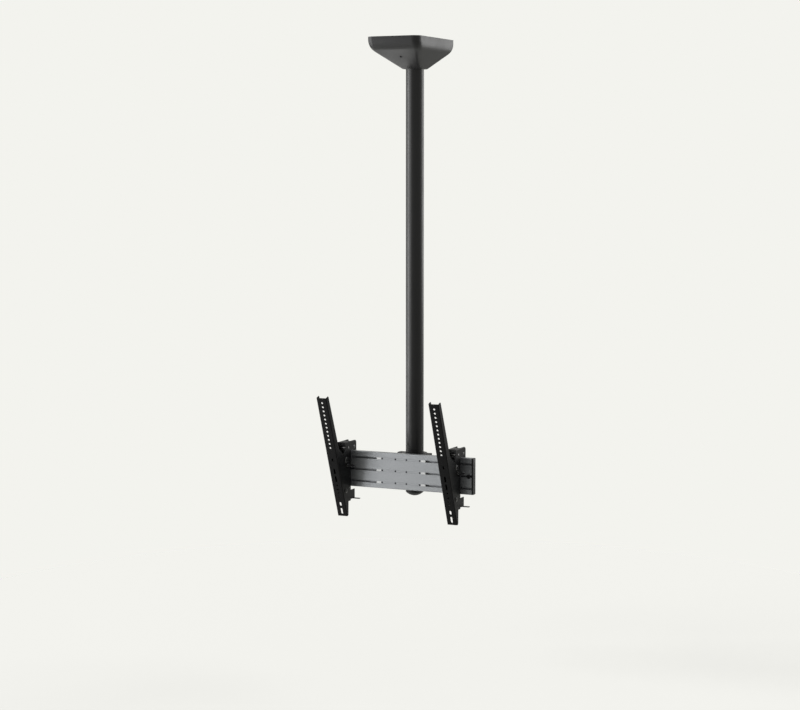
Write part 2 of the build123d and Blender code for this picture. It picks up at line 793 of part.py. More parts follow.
    # Tilt lock: a bolt from the bracket through the arm's curved slot, and its nut
    lock_seat = side_seat(arm_x + bracket_inner, lock_y, lock_z, -1)
    with BuildPart() as lock_bolt:
        with BuildSketch(lock_seat):
            Circle(lock_head_radius)
        extrude(amount=lock_head)
        with BuildSketch(lock_seat):
            Circle(m6_radius)
        extrude(amount=bracket_inner - arm_width / 2 - lock_reach)
    save(lock_bolt, f"lock_bolt_{side}")
    with BuildPart() as lock_nut:
        add(hex_nut(side_seat(head_x + slide_gap, lock_y, lock_z, 1), m6_radius, m6_flats, m6_nut))
    save(lock_nut, f"lock_nut_{side}")

    # Tilt stop: a bolt across the arm with its nut, and the sleeve that meets the bracket
    with BuildPart() as stop_bolt:
        add(hex_bolt(side_seat(head_x, stop_y, stop_z, 1), m6_radius, m6_flats, m6_head, arm_width + m6_nut))
    save(stop_bolt, f"stop_bolt_{side}")
    with BuildPart() as stop_nut:
        add(hex_nut(side_seat(nut_x, stop_y, stop_z, -1), m6_radius, m6_flats, m6_nut))
    save(stop_nut, f"stop_nut_{side}")
    with BuildPart() as stop_sleeve:
        with BuildSketch(across):
            with Locations((stop_y, stop_z)):
                Circle(stop_sleeve_radius)
                Circle(m6_radius + bolt_gap, mode=Mode.SUBTRACT)
        extrude(amount=flange_inner, both=True)
    save(stop_sleeve, f"stop_sleeve_{side}")
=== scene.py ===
import json
from math import cos, pi, radians, sin, tan

import bmesh
import bpy
import numpy as np
from bpy.props import FloatProperty, FloatVectorProperty, IntProperty, PointerProperty
from bpy.types import Operator, Panel, PropertyGroup
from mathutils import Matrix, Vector

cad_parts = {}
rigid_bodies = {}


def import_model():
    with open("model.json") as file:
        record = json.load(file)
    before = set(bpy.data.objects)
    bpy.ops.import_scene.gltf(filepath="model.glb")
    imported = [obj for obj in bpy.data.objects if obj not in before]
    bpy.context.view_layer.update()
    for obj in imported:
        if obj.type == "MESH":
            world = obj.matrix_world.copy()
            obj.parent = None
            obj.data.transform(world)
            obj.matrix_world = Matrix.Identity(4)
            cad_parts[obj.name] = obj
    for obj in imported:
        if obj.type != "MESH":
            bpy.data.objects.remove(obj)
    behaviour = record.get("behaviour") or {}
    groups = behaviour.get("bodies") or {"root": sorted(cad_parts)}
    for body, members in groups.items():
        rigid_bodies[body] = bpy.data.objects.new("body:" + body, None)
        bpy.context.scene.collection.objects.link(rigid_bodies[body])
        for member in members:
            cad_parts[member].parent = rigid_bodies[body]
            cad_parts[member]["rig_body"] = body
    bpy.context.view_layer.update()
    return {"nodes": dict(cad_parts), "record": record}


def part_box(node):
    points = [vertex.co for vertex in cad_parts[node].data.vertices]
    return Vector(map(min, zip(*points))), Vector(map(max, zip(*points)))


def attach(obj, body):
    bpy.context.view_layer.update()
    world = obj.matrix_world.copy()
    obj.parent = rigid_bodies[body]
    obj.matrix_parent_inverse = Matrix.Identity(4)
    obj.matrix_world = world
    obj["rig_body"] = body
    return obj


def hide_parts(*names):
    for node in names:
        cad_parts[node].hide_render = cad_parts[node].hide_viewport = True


bl_info = {
    "name": "Display ceiling mount",
    "version": (1, 0, 0),
    "blender": (4, 5, 0),
    "location": "3D View > Sidebar > Mount",
    "description": "Dresses a ceiling mount for a flat display with its finishes, fasteners and stage",
    "category": "Object",
}

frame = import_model()
MM = 0.001
SIDES = ("left", "right")
SLOT_OF = {part["node"]: part["material_slot"] for part in frame["record"]["subparts"]}

# Thread sizes in millimetres: shank radius, width across flats, head, nut and pitch
M8 = {"shank": 4.0, "flats": 13.0, "head": 5.5, "nut": 6.5, "pitch": 1.25}
M6 = {"shank": 3.0, "flats": 10.0, "head": 4.0, "nut": 5.0, "pitch": 1.0}
M5 = {"shank": 2.5, "flats": 8.0, "head": 3.5, "nut": 4.0, "pitch": 0.8}

# Fastener shapes: lengths in millimetres, and shares of the size named
BORE_GAP = 0.05  # room between a shank and the bore around it
POINT = 0.6  # length of the cone at a bolt's tip
CROWN_SHARE = 0.46  # radius of a hexagon's flat end circle, as a share of its flats
CROWN_SLOPE = tan(pi / 6)  # fall of the cone that cuts a hexagon's corners
THREAD_DEPTH = 0.6  # share of the pitch
RINGS_PER_PITCH = 4
DOME_RINGS = 7

# Softboxes: name, place and target in metres, width, height, and power in watts
MIDDLE = (0, -0.1, -0.8)
SOFTBOXES = (
    ("left_softbox", (-2.8, -1.05, -0.8), MIDDLE, 1.1, 3.0, 105),
    ("front_left_softbox", (-2.0, -2.2, -0.8), MIDDLE, 1.4, 2.8, 52),
    ("right_softbox", (2.0, 2.6, 0.1), MIDDLE, 2.4, 2.6, 72),
    ("low_softbox", (-1.1, 1.35, -1.85), (0, 0, -0.1), 1.8, 1.8, 14),
)

FINISH = {}


def linear(hex_colour):
    """Turns an sRGB hex colour into linear red, green and blue."""
    code = hex_colour.lstrip("#")
    srgb = np.array([int(code[i:i + 2], 16) for i in (0, 2, 4)]) / 255
    return tuple(np.where(srgb <= 0.04045, srgb / 12.92, ((srgb + 0.055) / 1.055) ** 2.4))


def colour_property(name, description, hex_colour):
    """A colour that the sidebar shows, given as sRGB hex."""
    return FloatVectorProperty(
        name=name, description=description, subtype="COLOR", size=3, min=0, max=1, default=linear(hex_colour)
    )


def length_property(name, description, millimetres):
    """A length that the sidebar shows, given in millimetres."""
    return FloatProperty(name=name, description=description, default=millimetres * MM, min=0, unit="LENGTH")


class MountFinishes(PropertyGroup):
    """Colours of the mount's finishes."""

    pole_coat: colour_property("Pole coat", "Satin black coat of the pole", "#111112")
    steel_coat: colour_property("Steel coat", "Black powder coat of the folded steel", "#0f0f10")
    # Painted highlight: a paler colour along the edges of the folded steel, in place of light caught there
    steel_edge_highlight: colour_property("Steel edge", "Thin coat along the edges of the folded steel", "#2a2a2b")
    cover_plastic: colour_property("Cover plastic", "Charcoal of the moulded cover", "#212122")
    trim_plastic: colour_property("Trim plastic", "Black of the caps and washers", "#151516")
    rail_metal: colour_property("Rail metal", "Satin anodised aluminium of the rail", "#7e8083")
    strip_metal: colour_property("Strip metal", "Drawn aluminium of the slot strips", "#7c7e81")
    strip_end: colour_property("Strip ends", "Bright polished ends of the slot strips", "#a2a3a4")
    zinc_pale: colour_property("Zinc, pale", "Pale side of the zinc plating's mottling", "#626366")
    zinc_warm: colour_property("Zinc, warm", "Warm side of the zinc plating's mottling", "#55534f")
    bolt_paint: colour_property("Bolt paint", "Gloss black of the domed bolt heads", "#0e0e0f")
    black_oxide: colour_property("Black oxide", "Blackened steel of the darker fasteners", "#2b2b2d")


class MountDetails(PropertyGroup):
    """Sizes of the small shapes that finish the pieces."""

    sheet_edge: length_property("Sheet edge", "Rounding on the edges of the clamp and stop screws", 0.35)
    fastener_edge: length_property("Fastener edge", "Chamfer on washers, sleeves and nut bores", 0.4)
    strip_groove: length_property("Strip groove", "Height of the dark line under each slot strip", 1.8)
    # Painted shade: dark discs in the strips' screw holes stand in for the shade inside them
    hole_shade_disc: length_property("Screw end", "Radius of the rail screws' ends in the strips", 3.1)
    weld_leg: length_property("Weld leg", "Leg of the weld between the socket and the ceiling plate", 4.0)
    weld_ripple: length_property("Weld ripple", "Spacing of the weld's ripples", 2.6)
    edge_steps: IntProperty(name="Edge steps", description="Segments across a rounded edge", default=2, min=1)
    ring_steps: IntProperty(name="Ring steps", description="Segments around a fastener", default=48, min=12)
    smooth_angle: FloatProperty(
        name="Smooth angle", description="Faces that meet below this angle shade as one surface",
        default=radians(28), subtype="ANGLE",
    )


class MountStage(PropertyGroup):
    """Camera, floor and backdrop."""

    camera_reach: FloatProperty(
        name="Camera reach", description="Distance from the pole to the camera", default=6.5, unit="LENGTH"
    )
    camera_level: FloatProperty(
        name="Camera level", description="Camera's height from the ceiling", default=-0.434, unit="LENGTH"
    )
    camera_azimuth: FloatProperty(
        name="Camera azimuth", description="Camera's place around the pole, from the front", default=radians(24.6),
        subtype="ANGLE",
    )
    camera_aside: FloatProperty(
        name="Camera aside", description="How far the view turns left, so the pole stands right of the middle",
        default=radians(0.435), subtype="ANGLE",
    )
    camera_pitch: FloatProperty(
        name="Camera pitch", description="How far the view looks down", default=radians(5.37), subtype="ANGLE"
    )
    camera_lens: FloatProperty(
        name="Camera lens", description="Focal length on a 36 mm sensor", default=87.85, min=1, unit="CAMERA"
    )
    floor_level: FloatProperty(
        name="Floor level", description="Floor's height from the ceiling", default=-2.05, unit="LENGTH"
    )
    floor_reach: FloatProperty(
        name="Floor reach", description="Radius of the floor that keeps the shadow", default=2.0, min=0, unit="LENGTH"
    )
    backdrop: colour_property("Backdrop", "Pale colour of the floor and backdrop", "#f3f3ee")


def add_node(tree, kind, sockets=None, **settings):
    """Adds a node, sets its attributes, and sets or links each named socket."""
    node = tree.nodes.new(kind)
    for name, value in settings.items():
        setattr(node, name, value)
    for name, value in (sockets or {}).items():
        if isinstance(value, bpy.types.NodeSocket):
            tree.links.new(value, node.inputs[name])
        else:
            node.inputs[name].default_value = value
    return node


def rgba(colour, factor=1):
    """A colour times a factor, with full alpha, as a node's socket takes it."""
    return (*(factor * part for part in colour), 1)


def new_tree(name):
    """An empty node material, with its node tree and its object coordinates."""
    material = bpy.data.materials.new(name)
    material.use_nodes = True
    material.node_tree.nodes.clear()
    place = add_node(material.node_tree, "ShaderNodeTexCoord")
    return material, material.node_tree, place.outputs["Object"]


def coated(name, colour, peel_mm, relief, roughness, specular, edge_highlight_colour=None):
    """A coated or moulded surface: relief of one grain size, uneven gloss, slight mottling.

    With an edge highlight colour, the coat turns to that colour along the edges, as a painted highlight.
    """
    material, tree, place = new_tree(name)
    peel = add_node(
        tree, "ShaderNodeTexNoise",
        {"Vector": place, "Scale": 1 / (peel_mm * MM), "Detail": 2.0, "Roughness": 0.5},
    )
    # Cloudy unevenness of the coat
    cloud_mm = 70.0
    cloud = add_node(
        tree, "ShaderNodeTexNoise", {"Vector": place, "Scale": 1 / (cloud_mm * MM), "Detail": 3.0}
    )
    gloss = add_node(
        tree, "ShaderNodeMapRange",
        {"Value": cloud.outputs["Fac"], "From Min": 0.3, "From Max": 0.7,
         "To Min": roughness - 0.03, "To Max": roughness + 0.05},
    )
    tone = add_node(
        tree, "ShaderNodeMix",
        {0: cloud.outputs["Fac"], 6: rgba(colour, 0.86), 7: rgba(colour, 1.14)},
        data_type="RGBA",
    )
    base = tone.outputs[2]
    if edge_highlight_colour:
        # Painted highlight: the colour turns paler along the sheet's edges, in a narrow band
        band_mm = 1.5
        rounded = add_node(tree, "ShaderNodeBevel", {"Radius": band_mm * MM}, samples=4)
        flat = add_node(tree, "ShaderNodeNewGeometry")
        turn = add_node(
            tree, "ShaderNodeVectorMath", {0: rounded.outputs["Normal"], 1: flat.outputs["Normal"]},
            operation="DOT_PRODUCT",
        )
        edge_highlight = add_node(
            tree, "ShaderNodeMapRange",
            {"Value": turn.outputs["Value"], "From Min": 0.99, "From Max": 0.8, "To Min": 0.0, "To Max": 0.8},
        )
        base = add_node(
            tree, "ShaderNodeMix", {0: edge_highlight.outputs["Result"], 6: base, 7: rgba(edge_highlight_colour)}, data_type="RGBA"
        ).outputs[2]
    bump = add_node(
        tree, "ShaderNodeBump", {"Height": peel.outputs["Fac"], "Strength": relief, "Distance": 0.1 * MM}
    )
    surface = add_node(
        tree, "ShaderNodeBsdfPrincipled",
        {"Base Color": base, "Roughness": gloss.outputs["Result"], "Specular IOR Level": specular,
         "Normal": bump.outputs["Normal"]},
    )
    add_node(tree, "ShaderNodeOutputMaterial", {"Surface": surface.outputs["BSDF"]})
    return material


def drawn(name, colour, line_mm, relief, roughness, bright=None):
    """A drawn or extruded bare metal: fine lines along X in its relief, gloss and tone.

    bright holds a colour, a middle and a reach in metres: farther from the middle along X the metal is
    polished to that colour.
    """
    material, tree, place = new_tree(name)
    # A line is 125 times as long as it is wide
    along = add_node(tree, "ShaderNodeMapping", {"Vector": place, "Scale": (0.008, 1, 1)})
    lines = add_node(
        tree, "ShaderNodeTexNoise",
        {"Vector": along.outputs["Vector"], "Scale": 1 / (line_mm * MM), "Detail": 3.0, "Roughness": 0.65},
    )
    gloss = add_node(
        tree, "ShaderNodeMapRange",
        {"Value": lines.outputs["Fac"], "From Min": 0.3, "From Max": 0.7,
         "To Min": roughness - 0.03, "To Max": roughness + 0.03},
    )
    tone = add_node(
        tree, "ShaderNodeMix",
        {0: lines.outputs["Fac"], 6: rgba(colour, 0.94), 7: rgba(colour, 1.06)},
        data_type="RGBA",
    )
    base = tone.outputs[2]
    if bright:
        polish, middle, reach = bright
        blend = 0.5 * MM
        along_x = add_node(tree, "ShaderNodeSeparateXYZ", {"Vector": place})
        away = add_node(tree, "ShaderNodeMath", {0: along_x.outputs["X"], 1: middle}, operation="SUBTRACT")
        far = add_node(tree, "ShaderNodeMath", {0: away.outputs[0]}, operation="ABSOLUTE")
        ends = add_node(
            tree, "ShaderNodeMapRange",
            {"Value": far.outputs[0], "From Min": reach - blend, "From Max": reach + blend},
        )
        base = add_node(
            tree, "ShaderNodeMix", {0: ends.outputs["Result"], 6: base, 7: rgba(polish)}, data_type="RGBA"
        ).outputs[2]
    bump = add_node(
        tree, "ShaderNodeBump", {"Height": lines.outputs["Fac"], "Strength": relief, "Distance": 0.05 * MM}
    )
    surface = add_node(
        tree, "ShaderNodeBsdfPrincipled",
        {"Base Color": base, "Metallic": 1.0, "Roughness": gloss.outputs["Result"],
         "Normal": bump.outputs["Normal"]},
    )
    add_node(tree, "ShaderNodeOutputMaterial", {"Surface": surface.outputs["BSDF"]})
    return material


def plated(name, pale, warm, patch_mm, roughness):
    """A plated or blackened fastener: two tones in soft patches, with uneven gloss."""
    material, tree, place = new_tree(name)
    patch = add_node(
        tree, "ShaderNodeTexNoise", {"Vector": place, "Scale": 1 / (patch_mm * MM), "Detail": 4.0}
    )
    share = add_node(
        tree, "ShaderNodeMapRange", {"Value": patch.outputs["Fac"], "From Min": 0.35, "From Max": 0.65}
    )
    tone = add_node(
        tree, "ShaderNodeMix", {0: share.outputs["Result"], 6: rgba(pale), 7: rgba(warm)}, data_type="RGBA"
    )
    gloss = add_node(
        tree, "ShaderNodeMapRange",
        {"Value": patch.outputs["Fac"], "To Min": roughness - 0.08, "To Max": roughness + 0.08},
    )
    surface = add_node(
        tree, "ShaderNodeBsdfPrincipled",
        {"Base Color": tone.outputs[2], "Metallic": 1.0, "Roughness": gloss.outputs["Result"]},
    )
    add_node(tree, "ShaderNodeOutputMaterial", {"Surface": surface.outputs["BSDF"]})
    return material


def strip_ends():
    """Where the slot strips turn bright: their middle along X, and the reach to their last millimetres."""
    bright_mm = 16
    low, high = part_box("slot_strip_middle")
    return (low[0] + high[0]) / 2, (high[0] - low[0]) / 2 - bright_mm * MM


def make_finishes(look):
    """Makes each finish once, by the record's slot or by its own name."""
    strip_polish = (look.strip_end, *strip_ends())
    dark_oxide = tuple(0.7 * part for part in look.black_oxide)
    return {
        # Satin polyester powder on drawn tube: dark and smooth, with one long soft highlight.
        # Its orange peel is about 1.5 mm.
        "pole_coat": coated("satin_powder_coat", look.pole_coat, 1.5, 0.015, 0.36, 0.25),
        # Black powder coat on folded steel: dull, with a painted highlight that makes it paler along cut edges. Peel
        # drawn at 2 mm to show.
        "black_steel": coated("black_powder_coat", look.steel_coat, 2.0, 0.05, 0.42, 0.08, look.steel_edge_highlight),
        # Moulded ABS with a spark-eroded grain, which keeps its sheen broad. Grain drawn at 1.2 mm to show.
        "charcoal_plastic": coated("moulded_abs", look.cover_plastic, 1.2, 0.03, 0.42, 0.22),
        # Moulded black nylon: dull and slightly uneven, with a grain about 1 mm.
        "black_plastic": coated("moulded_nylon", look.trim_plastic, 1.0, 0.05, 0.45, 0.2),
        # Satin anodised extrusion: die lines along the rail, drawn 0.8 mm wide to show.
        "anodised_aluminium": drawn("anodised_aluminium", look.rail_metal, 0.8, 0.03, 0.42),
        # Drawn aluminium bar: the rail's tone with finer lines, and ends polished bright.
        "strip_aluminium": drawn("drawn_aluminium", look.strip_metal, 0.5, 0.03, 0.42, strip_polish),
        # Dull zinc plating: grey with a metal sheen, and warm patches a few millimetres across.
        "zinc_steel": plated("dull_zinc_plated_steel", look.zinc_pale, look.zinc_warm, 4.0, 0.32),
        # Gloss black paint on the bolt heads: black, with a bright arc round the socket. Its peel is about 1 mm.
        "bolt_paint": coated("gloss_black_paint", look.bolt_paint, 1.0, 0.01, 0.16, 0.5),
        # Oiled black oxide: almost black, with a dull metal sheen.
        "black_oxide": plated("black_oxide_steel", look.black_oxide, dark_oxide, 4.0, 0.4),
    }


def settle(context, name, mesh, finish, body, nodes=()):
    """Links a finished mesh as a piece, with its material, body, record slot and the nodes it stands for."""
    mesh.materials.clear()
    mesh.materials.append(FINISH[finish])
    mesh.shade_smooth()
    mesh.set_sharp_from_angle(angle=context.scene.mount_details.smooth_angle)
    piece = bpy.data.objects.new(name, mesh)
    context.scene.collection.objects.link(piece)
    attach(piece, body)
    if nodes:
        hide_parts(*nodes)
    return piece


def dress(context, node, edge=0, finish=None):
    """A merged copy of a CAD node stands for the node, with its sharp edges rounded where an edge size is given."""
    merge = 0.002 * MM
    flat = radians(0.5)
    sharp = radians(40)
    source = frame["nodes"][node]
    mesh = source.data.copy()
    shape = bmesh.new()
    shape.from_mesh(mesh)
    bmesh.ops.remove_doubles(shape, verts=shape.verts, dist=merge)
    bmesh.ops.dissolve_limit(shape, angle_limit=flat, verts=shape.verts, edges=shape.edges)
    shape.to_mesh(mesh)
    shape.free()
    piece = settle(
        context, f"{node}_dressed", mesh, finish or SLOT_OF[node], source["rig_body"], (node,)
    )
    if edge > 0:
        bevel = piece.modifiers.new("edge", "BEVEL")
        bevel.width = edge
        bevel.segments = context.scene.mount_details.edge_steps
        bevel.limit_method = "ANGLE"
        bevel.angle_limit = sharp
        bevel.harden_normals = True
    return piece


def solid_boxes(node):
    """The boxes of a node's separate solids: lowest and highest corners in millimetres, one row each.

    Corners at one place are made one point, and each point takes the lowest label among the points that
    share an edge with it, over and over, until every solid has a label of its own.
    """
    mesh = frame["nodes"][node].data
    corners = np.empty(3 * len(mesh.vertices))
    mesh.vertices.foreach_get("co", corners)
    edges = np.empty(2 * len(mesh.edges), dtype=int)
    mesh.edges.foreach_get("vertices", edges)
    points, own = np.unique(np.round(corners.reshape(-1, 3) / MM, 3), axis=0, return_inverse=True)
    ends = own.reshape(-1)[edges].reshape(-1, 2)
    label = np.arange(len(points))
    while True:
        lower = label.copy()
        np.minimum.at(lower, ends[:, 0], label[ends[:, 1]])
        np.minimum.at(lower, ends[:, 1], label[ends[:, 0]])
        lower = lower[lower]
        if np.array_equal(lower, label):
            break
        label = lower
    return [(points[label == one].min(axis=0), points[label == one].max(axis=0)) for one in np.unique(label)]


def ring_angles():
    """Angles of the points around a fastener."""
    steps = bpy.context.scene.mount_details.ring_steps
    return np.linspace(0, 2 * pi, steps, endpoint=False)


def spun(rings, place, axis, closed=False):
    """A surface of rings around an axis: ring i at angle t is place + axis * along + radius * (e cos t + f sin t).

    rings holds (radius, along) pairs, each a number or an array over the angle, and closed joins the last
    ring to the first. Returns points as a grid of rings by angles, in millimetres, and that flag.
    """
    angle = ring_angles()
    radius = np.array([np.broadcast_to(ring[0], angle.shape) for ring in rings])
    along = np.array([np.broadcast_to(ring[1], angle.shape) for ring in rings])
    axis = np.asarray(axis, dtype=float)
    across = np.array((0.0, 1.0, 0.0)) if abs(axis[0]) > 0.5 else np.array((1.0, 0.0, 0.0))
    other = np.cross(axis, across)
    points = (
        np.asarray(place, dtype=float)
        + along[..., None] * axis
        + (radius * np.cos(angle))[..., None] * across
        + (radius * np.sin(angle))[..., None] * other
    )
    return points, closed


def hexagon(flats):
    """Radius of a hexagon over the angle, by its width across flats, with a corner at angle 0."""
    return flats / 2 / np.cos(ring_angles() % (pi / 3) - pi / 6)


def crown(flats, level, sign):
    """The chamfered end of a hexagon: a flat circle, then a 30 degree cone that cuts the corners lower."""
    outline = hexagon(flats)
    circle = CROWN_SHARE * flats
    return [(circle, level), (outline, level - sign * (outline - circle) * CROWN_SLOPE)]


def thread(size, start, end):
    """Rings of a screw thread: the radius dips by 0.6 pitch in a triangle wave that climbs one pitch a turn."""
    stations = np.linspace(start, end, max(2, int(abs(end - start) / size["pitch"] * RINGS_PER_PITCH)))
    phase = (stations[:, None] / size["pitch"] + ring_angles() / (2 * pi)) % 1
    radius = size["shank"] - THREAD_DEPTH * size["pitch"] * np.abs(2 * phase - 1)
    return list(zip(radius, stations))


def shank(size, length, threaded):
    """Rings of a bolt below its seat: a plain shank, a thread and a short cone at the tip."""
    tip = -length
    rings = [(size["shank"], 0.0), (size["shank"], tip + threaded), *thread(size, tip + threaded, tip + POINT)]
    return [*rings, (size["shank"] - size["pitch"], tip), (0, tip)]


def hex_bolt(size, place, axis, length, threaded):
    """A hexagon bolt: chamfered head above its seat at place, shank below it with a threaded end."""
    rings = [(0, size["head"]), *crown(size["flats"], size["head"], 1), (hexagon(size["flats"]), 0.0)]
    return spun(rings + shank(size, length, threaded), place, axis)


def domed_bolt(size, place, axis, length, threaded, head_radius):
    """A bolt with a wide domed head above its seat at place: a low rim, a dome and a hexagon socket in it."""
    rim = 1.2
    # The socket's width and floor as shares of the head's, and the flat land around it
    socket = hexagon(size["flats"] * 0.6)
    floor = size["head"] * 0.35
    land = 1.25 * socket.max()
    crest = [ring for ring in dome(head_radius, size["head"] - rim, rim, 1) if ring[0] > land]
    rings = [(0, floor), (socket, floor), (socket, crest[-1][1]), *reversed(crest), (head_radius, 0.0)]
    return spun(rings + shank(size, length, threaded), place, axis)


def hex_nut(size, place, axis):
    """A hexagon nut that stands on place: both ends chamfered, and a chamfered bore."""
    edge = bpy.context.scene.mount_details.fastener_edge / MM
    bore = size["shank"] + BORE_GAP
    rings = [(bore, edge), (bore, size["nut"] - edge), (bore + edge, size["nut"])]
    rings += [*crown(size["flats"], size["nut"], 1), *reversed(crown(size["flats"], 0.0, -1)), (bore + edge, 0.0)]
    return spun(rings, place, axis, True)


def collar(inner, outer, low, high, place, axis):
    """A washer, sleeve or spacer: a ring with its four edges chamfered."""
    edge = min(bpy.context.scene.mount_details.fastener_edge / MM, (high - low) / 3)
    rings = [(inner, low + edge), (inner, high - edge), (inner + edge, high), (outer - edge, high)]
    rings += [(outer, high - edge), (outer, low + edge), (outer - edge, low), (inner + edge, low)]
    return spun(rings, place, axis, True)


def dome(radius, rise, level, sign):
    """Rings of a low domed head from its rim to its top: rise * sqrt(1 - (r / radius)^2)."""
    share = np.linspace(1, 0, DOME_RINGS)
    return [(radius * part, level + sign * rise * np.sqrt(1 - part * part)) for part in share]


def made(name, *surfaces):
    """A mesh of ring surfaces: quads between neighbouring rings, doubles merged and normals turned outwards."""
    points, quads, count = [], [], 0
    for grid, closed in surfaces:
        rows, steps = grid.shape[:2]
        index = count + np.arange(rows * steps).reshape(rows, steps)
        first = index if closed else index[:-1]
        last = np.roll(index, -1, axis=0) if closed else index[1:]
        faces = np.stack((first, np.roll(first, -1, axis=1), np.roll(last, -1, axis=1), last), axis=-1)
        points.append(grid.reshape(-1, 3) * MM)
        quads.append(faces.reshape(-1, 4))
        count += rows * steps
    merge = 0.001 * MM
    mesh = bpy.data.meshes.new(name)
    mesh.from_pydata(np.concatenate(points).tolist(), [], np.concatenate(quads).tolist())
    shape = bmesh.new()
    shape.from_mesh(mesh)
    bmesh.ops.remove_doubles(shape, verts=shape.verts, dist=merge)
    bmesh.ops.recalc_face_normals(shape, faces=shape.faces)
    shape.to_mesh(mesh)
    shape.free()
    return mesh


def fasten(context, node, finish, *surfaces):
    """Ring surfaces stand for a CAD node, on its body and in its slot."""
    body = frame["nodes"][node]["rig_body"]
    settle(context, f"{node}_turned", made(node, *surfaces), finish, body, (node,))


def bolts_along(node, axis, size, threaded):
    """Bolts with their heads at an axis's high end, and nuts on its low end, for each solid of a node.

    axis is 0 for X or 1 for Y. A solid no longer than a nut is a nut.
    """
    nut_length = size["nut"] + 0.1
    forward = np.eye(3)[axis]
    surfaces = []
    for low, high in solid_boxes(node):
        seat = (low + high) / 2
        if high[axis] - low[axis] < nut_length:
            seat[axis] = high[axis]
            surfaces.append(hex_nut(size, seat, -forward))
        else:
            seat[axis] = high[axis] - size["head"]
            surfaces.append(hex_bolt(size, seat, forward, seat[axis] - low[axis], threaded))
    return surfaces


class MOUNT_OT_pole(Operator):
    """Dresses the pole, its end cap and the hidden ceiling plate, socket, weld and cross bolts."""

    bl_idname = "mount.pole"
    bl_label = "Pole"

    # Threaded length of the cross bolts, and how far the weld sinks into the socket and the plate, in millimetres
    threaded = 12
    sunk_in_socket = 0.5
    sunk_in_plate = 0.2
    # The weld's rings, its points as a multiple of a fastener's, and its ripples as a share of its leg
    weld_rings = 7
    weld_points = 8
    ripple_share = 0.1

    def execute(self, context):
        """Makes the pole and everything that stays on the ceiling."""
        dress(context, "pole", finish="pole_coat")
        for node in ("pole_end_cap", "ceiling_plate", "pole_socket"):
            dress(context, node)
        fasten(context, "socket_bolts", "zinc_steel", *bolts_along("socket_bolts", 0, M8, self.threaded))
        self.weld(context)
        return {"FINISHED"}

    def weld(self, context):
        """A fillet weld round the socket's top: a quarter circle of the leg's size, whose face rises and
        falls by a tenth of the leg once in each ripple's length."""
        details = context.scene.mount_details
        leg = details.weld_leg / MM
        low, high = (np.array(corner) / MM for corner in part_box("pole_socket"))
        radius = (high[1] - low[1]) / 2
        flat = (high[0] - low[0]) / 2
        steps = details.ring_steps * self.weld_points
        angle = np.linspace(0, 2 * pi, steps, endpoint=False)
        wall = np.minimum(radius, flat / np.maximum(np.abs(np.cos(angle)), 1e-6))
        ripples = np.round(2 * pi * radius * MM / details.weld_ripple)
        face = leg * (1 + self.ripple_share * np.sin(ripples * angle))
        sweep = np.linspace(0, pi / 2, self.weld_rings)[:, None]
        bulge = np.concatenate((np.zeros((1, steps)), face * np.ones((self.weld_rings, 1))))
        turn = np.concatenate((np.zeros((1, 1)), sweep))
        reach = wall - self.sunk_in_socket + bulge * np.cos(turn)
        level = high[2] + self.sunk_in_plate - bulge * np.sin(turn)
        points = np.stack((reach * np.cos(angle), reach * np.sin(angle), level), axis=-1)
        mesh = made("socket_weld", (points, True))
        settle(context, "socket_weld", mesh, "black_steel", "pole_post")


class MOUNT_OT_cover(Operator):
    """Dresses the moulded ceiling cover and its screw."""

    bl_idname = "mount.cover"
    bl_label = "Ceiling cover"

    def execute(self, context):
        """Makes the cover and its screw."""
        dress(context, "ceiling_cover")
        dress(context, "cover_screw", finish="black_oxide")
        return {"FINISHED"}


class MOUNT_OT_rail(Operator):
    """Dresses the rail, its strips, caps, stops and the clamp behind it."""

    bl_idname = "mount.rail"
    bl_label = "Rail and clamp"

    # Threaded lengths of the bolts, and depth, inset and rise of the screws' round dark ends, painted shade in the
    # strips' holes, in millimetres
    clamp_threaded = 12
    screw_threaded = 10
    end_depth = 0.4
    end_inset = 0.8
    end_rise = 0.3

    def execute(self, context):
        """Makes everything that turns with the rail."""
        details = context.scene.mount_details
        dress(context, "rail")
        for row in ("top", "middle", "bottom"):
            self.strip(context, f"slot_strip_{row}", details.strip_groove)
        for side in SIDES:
            dress(context, f"rail_end_cap_{side}")
        dress(context, "rail_adapter")
        dress(context, "clamp_rear", details.sheet_edge)
        dress(context, "stop_nuts")
        dress(context, "stop_screws", details.sheet_edge, "black_oxide")
        fasten(context, "clamp_bolts", "zinc_steel", *bolts_along("clamp_bolts", 1, M8, self.clamp_threaded))
        # The screws' ends are dark discs in the strips' face: painted shade in place of the shade in the screw holes
        screws = bolts_along("rail_screws", 1, M5, self.screw_threaded)
        ends = self.hole_shade_discs("rail_screws", details.hole_shade_disc / MM)
        fasten(context, "rail_screws", "black_oxide", *screws, *ends)
        return {"FINISHED"}

    def hole_shade_discs(self, node, radius):
        """Low round dark ends on the screws, flush in the strips' face: a disc and a low dome over each hole, as
        painted shade in place of the shade inside the holes.
        """
        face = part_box("slot_strip_middle")[0][1] / MM
        surfaces = []
        for low, high in solid_boxes(node):
            middle = (low + high) / 2
            rings = [(0, self.end_depth), (radius - self.end_inset, self.end_depth)]
            rings += dome(radius, self.end_rise, 0.0, -1)
            surfaces.append(spun(rings, (middle[0], face, middle[2]), (0, 1, 0)))
        return surfaces

    def strip(self, context, node, groove):
        """A slot strip whose lower front edge is raised by the groove, which leaves a dark line in the slot."""
        near = 0.05 * MM
        mesh = dress(context, node, finish="strip_aluminium").data
        corners = np.empty(3 * len(mesh.vertices), dtype=np.float32)
        mesh.vertices.foreach_get("co", corners)
        corners = corners.reshape(-1, 3)
        low = corners.min(axis=0) + near
        edge = (corners[:, 1] < low[1]) & (corners[:, 2] < low[2])
        corners[edge, 2] += groove
        mesh.vertices.foreach_set("co", corners.reshape(-1))
        mesh.update()


